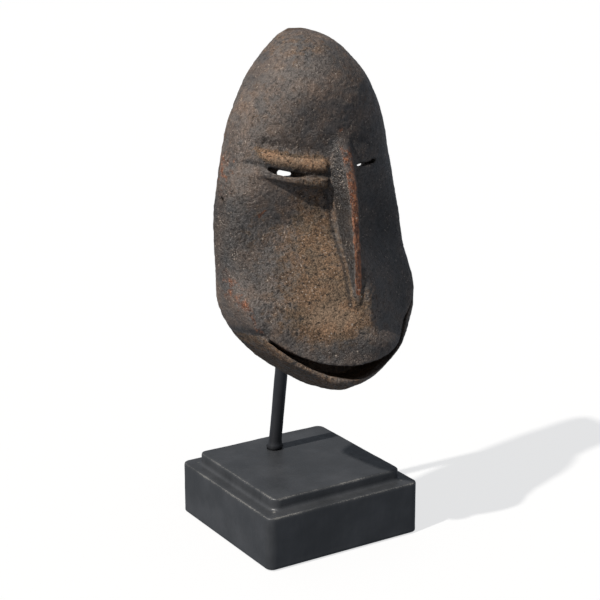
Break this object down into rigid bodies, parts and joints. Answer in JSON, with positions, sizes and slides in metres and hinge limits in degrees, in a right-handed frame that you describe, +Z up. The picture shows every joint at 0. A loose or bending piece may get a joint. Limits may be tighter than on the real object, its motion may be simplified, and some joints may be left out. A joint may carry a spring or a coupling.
{
  "type": "hemba soko mutu mask",
  "caption": "Hollow carved wooden face mask with a long narrow nose ridge, slit eyes and a crescent mouth, held up by a bent rod on a stepped square block.",
  "frame": {"origin": "centre of the base's underside, on the surface it stands on", "axes": "+Z up, the mask faces -Y, +X to the right of a viewer who faces the mask"},
  "size_m": [0.1164, 0.1186, 0.2856],
  "materials": {
    "mask_wood": "dark hand-carved wood with a dusty crust, worn glossy and orange on the nose ridge and the rim",
    "rod_paint": "brushed-on satin black paint on steel",
    "base_paint": "satin black paint on wood, rubbed pale on its edges"
  },
  "bodies": {
    "root": {"mask": "mask_wood", "stand_rod": "rod_paint", "stand_base": "base_paint"}
  },
  "joints": []
}
